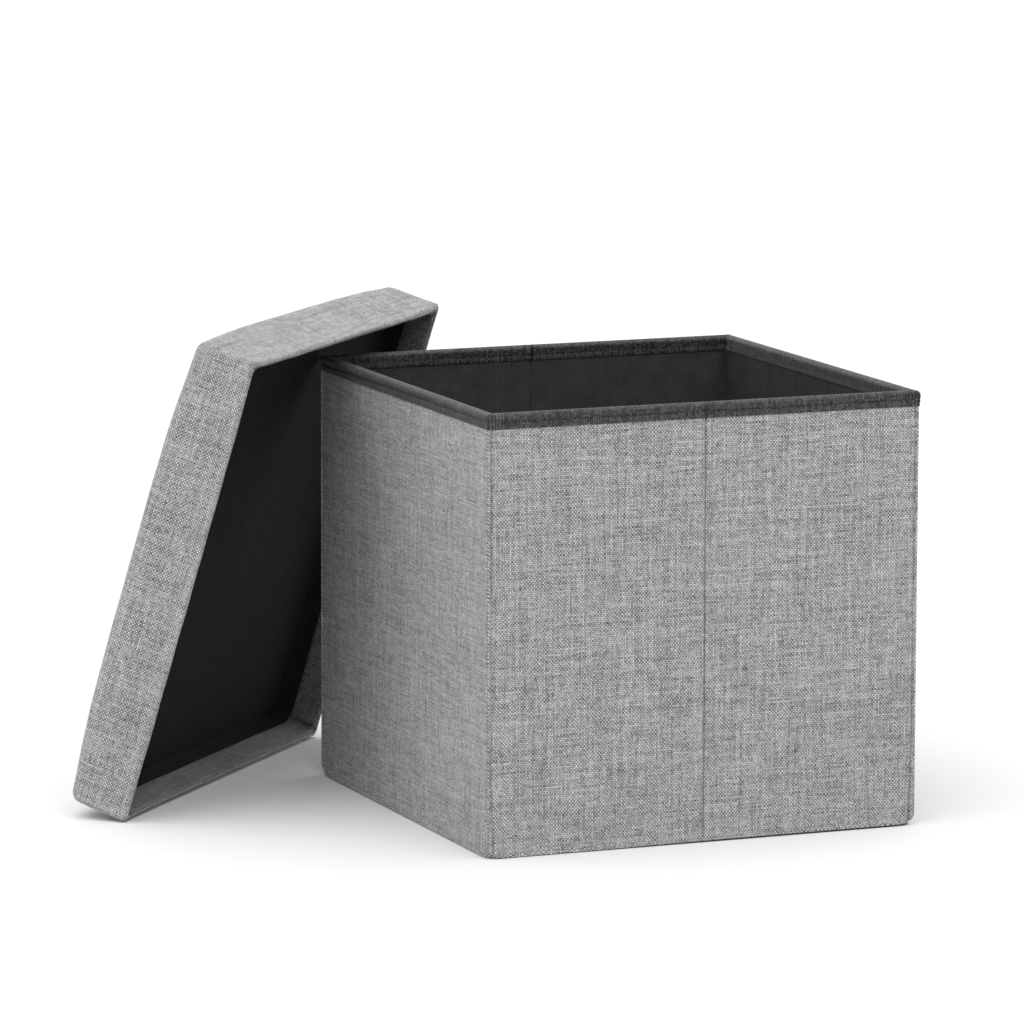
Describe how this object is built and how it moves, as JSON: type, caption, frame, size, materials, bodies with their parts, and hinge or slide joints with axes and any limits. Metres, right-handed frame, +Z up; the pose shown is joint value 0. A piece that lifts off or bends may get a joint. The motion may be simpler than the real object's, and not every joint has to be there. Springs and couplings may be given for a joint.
{
  "type": "ottoman with storage",
  "caption": "Cube storage ottoman with fabric-covered folding walls, a dark bound rim, a dark lining and a padded lift-off lid that leans on a corner.",
  "frame": {"origin": "centre of the box's footprint, on the floor that it stands on", "axes": "+Z up, +X to the right along the creased front wall, +Y from the front wall to the back wall; the lid leans on the back left corner"},
  "size_m": [0.5983, 0.5366, 0.3775],
  "materials": {
    "fabric_grey": "matte",
    "binding_black": "matte",
    "nonwoven_black": "matte",
    "fibreboard": "matte",
    "foam_pale": "matte"
  },
  "bodies": {
    "left_wall": {"left_cover": "fabric_grey", "left_board": "fibreboard", "left_lining": "nonwoven_black", "left_binding": "binding_black", "bottom_sheet": "nonwoven_black", "foot_band": "fabric_grey", "front_left_corner_web": "fabric_grey", "back_left_corner_web": "fabric_grey"},
    "right_wall": {"right_cover": "fabric_grey", "right_board": "fibreboard", "right_lining": "nonwoven_black", "right_binding": "binding_black", "front_right_corner_web": "fabric_grey", "back_right_corner_web": "fabric_grey"},
    "front_left": {"front_left_cover": "fabric_grey", "front_left_board": "fibreboard", "front_left_lining": "nonwoven_black", "front_left_binding": "binding_black", "front_crease_web": "fabric_grey"},
    "front_right": {"front_right_cover": "fabric_grey", "front_right_board": "fibreboard", "front_right_lining": "nonwoven_black", "front_right_binding": "binding_black"},
    "back_left": {"back_left_cover": "fabric_grey", "back_left_board": "fibreboard", "back_left_lining": "nonwoven_black", "back_left_binding": "binding_black", "back_crease_web": "fabric_grey"},
    "back_right": {"back_right_cover": "fabric_grey", "back_right_board": "fibreboard", "back_right_lining": "nonwoven_black", "back_right_binding": "binding_black"},
    "base": {"base_board": "fibreboard", "base_wrap": "nonwoven_black", "base_ribbon": "binding_black"},
    "lid": {"lid_top_board": "fibreboard", "lid_foam": "foam_pale", "lid_top_cover": "fabric_grey", "lid_lining": "nonwoven_black", "lid_front_board": "fibreboard", "lid_back_board": "fibreboard", "lid_left_board": "fibreboard", "lid_right_board": "fibreboard", "lid_front_cover": "fabric_grey", "lid_back_cover": "fabric_grey", "lid_left_cover": "fabric_grey", "lid_right_cover": "fabric_grey"}
  },
  "joints": [
    {"name": "wall_fold", "type": "hinge", "parent": "left_wall", "child": "front_left", "pos_m": [-0.165, -0.171, 0.17], "axis": [0, 0, 1], "range_deg": [0, 88], "deforming": ["bottom_sheet", "foot_band", "front_left_corner_web", "front_right_corner_web", "back_left_corner_web", "back_right_corner_web", "front_crease_web", "back_crease_web"]},
    {"name": "front_crease_fold", "type": "hinge", "parent": "front_left", "child": "front_right", "pos_m": [0, -0.1783, 0.17], "axis": [0, 0, 1], "range_deg": [-176, 0]},
    {"name": "front_right_corner_fold", "type": "hinge", "parent": "front_right", "child": "right_wall", "pos_m": [0.165, -0.171, 0.17], "axis": [0, 0, 1], "range_deg": [0, 88]},
    {"name": "back_left_corner_fold", "type": "hinge", "parent": "left_wall", "child": "back_left", "pos_m": [-0.165, 0.171, 0.17], "axis": [0, 0, 1], "range_deg": [-88, 0]},
    {"name": "back_crease_fold", "type": "hinge", "parent": "back_left", "child": "back_right", "pos_m": [0, 0.1783, 0.17], "axis": [0, 0, 1], "range_deg": [0, 176]},
    {"name": "base_flip", "type": "hinge", "parent": "left_wall", "child": "base", "pos_m": [-0.1665, 0, 0.0008], "axis": [0, -1, 0], "range_deg": [0, 90]},
    {"name": "lid_lift", "type": "slide", "parent": "left_wall", "child": "lid", "axis": [0, 0, 1], "range_m": [0, 0.36]}
  ],
  "couplings": [
    {"joint": "front_crease_fold", "follows": "wall_fold", "ratio": -2},
    {"joint": "front_right_corner_fold", "follows": "wall_fold", "ratio": 1},
    {"joint": "back_left_corner_fold", "follows": "wall_fold", "ratio": -1},
    {"joint": "back_crease_fold", "follows": "wall_fold", "ratio": 2}
  ]
}
